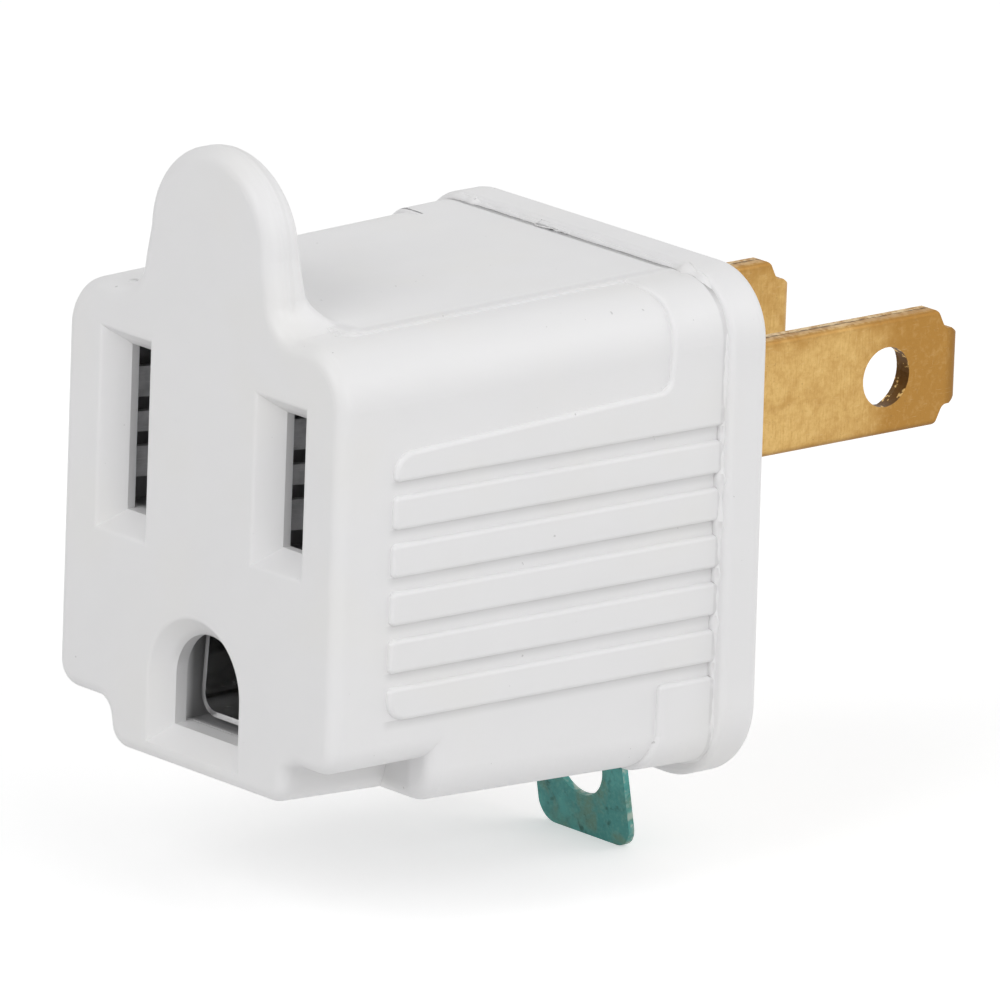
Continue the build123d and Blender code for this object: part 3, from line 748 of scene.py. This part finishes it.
class ADAPTER_OT_contacts(bpy.types.Operator):
    """Finish the sprung contacts, the ground channel and the rivets"""

    bl_idname = "adapter.contacts"
    bl_label = "Contacts and rivets"

    def execute(self, context):
        dress(["hot_contact", "neutral_contact"], spring_steel())
        dress(["ground_contact"], bright_plate())
        dress(["hot_rivet", "neutral_rivet", "ground_rivet"], rivet_brass())
        return {"FINISHED"}


class ADAPTER_OT_studio(bpy.types.Operator):
    """Set up the floor, the white surround, the lamps and the camera"""

    bl_idname = "adapter.studio"
    bl_label = "Studio"

    # The rays that see the floor and the surround brighter than they light the object
    SEEN_BY = ("Is Camera Ray", "Is Transmission Ray", "Is Glossy Ray")

    def execute(self, context):
        settings = context.scene.adapter_studio
        self.floor()
        self.surround(context, settings)
        self.lamps(context, settings)
        self.camera(context, settings)
        context.scene.view_settings.view_transform = "Standard"
        return {"FINISHED"}

    def floor(self):
        """Pale paper under the object, with a glow that only the rays in SEEN_BY see."""
        mesh = bpy.data.meshes.new("floor")
        shape = bmesh.new()
        bmesh.ops.create_grid(shape, x_segments=1, y_segments=1, size=3.0)
        bmesh.ops.translate(shape, verts=shape.verts, vec=(0, 0, cad_low.z))
        shape.to_mesh(mesh)
        shape.free()
        floor = bpy.data.objects.new("floor", mesh)
        bpy.context.scene.collection.objects.link(floor)
        finish = Finish("Pale paper floor")
        tone = finish.blend(finish.clouds(0.02, 4), (0.80, 0.80, 0.80), (0.83, 0.83, 0.83))
        finish.surface(Base_Color=tone, Roughness=0.9)
        path = finish.tree.nodes.new("ShaderNodeLightPath")
        seen = 0
        for ray in self.SEEN_BY:
            seen = Wire(finish, path.outputs[ray]) + seen
        glow = finish.add("ShaderNodeEmission", None, (1, 1, 1), seen * 0.43)
        both = finish.add("ShaderNodeAddShader", None, Wire(finish, finish.shader.outputs[0]), glow)
        finish.tree.links.new(both.socket, finish.tree.nodes["Material Output"].inputs[0])
        mesh.materials.append(finish.material)

    def surround(self, context, settings):
        """A tent that the rays in SEEN_BY see as white, and that lights the object with less."""
        world = bpy.data.worlds.new("White tent")
        world.use_nodes = True
        tree = world.node_tree
        path = tree.nodes.new("ShaderNodeLightPath")
        seen = path.outputs[self.SEEN_BY[0]]
        for ray in self.SEEN_BY[1:]:
            either = tree.nodes.new("ShaderNodeMath")
            either.operation = "ADD"
            either.use_clamp = True
            tree.links.new(seen, either.inputs[0])
            tree.links.new(path.outputs[ray], either.inputs[1])
            seen = either.outputs[0]
        bright = tree.nodes.new("ShaderNodeMapRange")
        tree.links.new(seen, bright.inputs[0])
        bright.inputs[3].default_value = settings.surround
        bright.inputs[4].default_value = 1.0
        back = tree.nodes["Background"]
        back.inputs["Color"].default_value = (1, 1, 1, 1)
        tree.links.new(bright.outputs[0], back.inputs["Strength"])
        context.scene.world = world

    def lamps(self, context, settings):
        """Square lamps that face the object, each with its power, place and size in metres."""
        plan = (
            ("key_lamp", settings.key, (0.8, -0.1, 0.4), 0.7),
            ("fill_lamp", settings.fill, (0.15, -0.95, 0.7), 0.7),
            ("overhead_lamp", settings.overhead, (0.0, 0.15, 0.9), 0.9),
            ("rim_lamp", settings.rim, (0.45, 0.85, 0.45), 0.7),
        )
        for name, power, place, size in plan:
            lamp = bpy.data.lights.new(name, "AREA")
            lamp.energy = power
            lamp.shape = "SQUARE"
            lamp.size = size
            body = bpy.data.objects.new(name, lamp)
            body.location = place
            body.rotation_euler = (-Vector(place)).to_track_quat("-Z", "Y").to_euler()
            context.scene.collection.objects.link(body)

    def camera(self, context, settings):
        """A long lens at the photo's angle, turned about its own axis by the roll."""
        around = math.radians(settings.azimuth)
        above = math.radians(settings.elevation)
        back = Vector(
            (math.sin(around) * math.cos(above), -math.cos(around) * math.cos(above), math.sin(above))
        )
        right = Vector((math.cos(around), math.sin(around), 0))
        up = back.cross(right)
        tilt = Matrix.Rotation(math.radians(settings.roll), 3, back)
        turn = Matrix((tilt @ right, tilt @ up, back)).transposed()
        lens = bpy.data.cameras.new("photo_camera")
        lens.sensor_width = 36.0
        lens.lens = settings.focal_length
        lens.clip_start = 0.01
        camera = bpy.data.objects.new("photo_camera", lens)
        place = Vector(settings.aim) * MM + back * settings.distance * MM
        camera.matrix_world = Matrix.Translation(place) @ turn.to_4x4()
        context.scene.collection.objects.link(camera)
        context.scene.camera = camera


OPERATORS = (
    ADAPTER_OT_plastic,
    ADAPTER_OT_flash,
    ADAPTER_OT_blades,
    ADAPTER_OT_ear,
    ADAPTER_OT_contacts,
    ADAPTER_OT_studio,
)
SETTINGS = {
    "adapter_plastic": PlasticSettings,
    "adapter_blade": BladeSettings,
    "adapter_ear": EarSettings,
    "adapter_flash": FlashSettings,
    "adapter_studio": StudioSettings,
}


class ADAPTER_PT_sidebar(bpy.types.Panel):
    """Buttons for each piece, with the settings below them"""

    bl_idname = "ADAPTER_PT_sidebar"
    bl_label = "Grounding plug adapter"
    bl_space_type = "VIEW_3D"
    bl_region_type = "UI"
    bl_category = "Adapter"

    def draw(self, context):
        for operator in OPERATORS:
            self.layout.operator(operator.bl_idname)
        for name, group in SETTINGS.items():
            box = self.layout.box()
            box.label(text=group.__doc__)
            for field in group.__annotations__:
                box.prop(getattr(context.scene, name), field)


def register():
    for group in SETTINGS.values():
        bpy.utils.register_class(group)
    for name, group in SETTINGS.items():
        setattr(bpy.types.Scene, name, bpy.props.PointerProperty(type=group))
    for operator in OPERATORS:
        bpy.utils.register_class(operator)
    bpy.utils.register_class(ADAPTER_PT_sidebar)


def unregister():
    bpy.utils.unregister_class(ADAPTER_PT_sidebar)
    for operator in reversed(OPERATORS):
        bpy.utils.unregister_class(operator)
    for name, group in SETTINGS.items():
        delattr(bpy.types.Scene, name)
        bpy.utils.unregister_class(group)


def main():
    register()
    bpy.ops.adapter.plastic()
    bpy.ops.adapter.flash()
    bpy.ops.adapter.blades()
    bpy.ops.adapter.ear()
    bpy.ops.adapter.contacts()
    bpy.ops.adapter.studio()


if __name__ == "__main__":
    main()
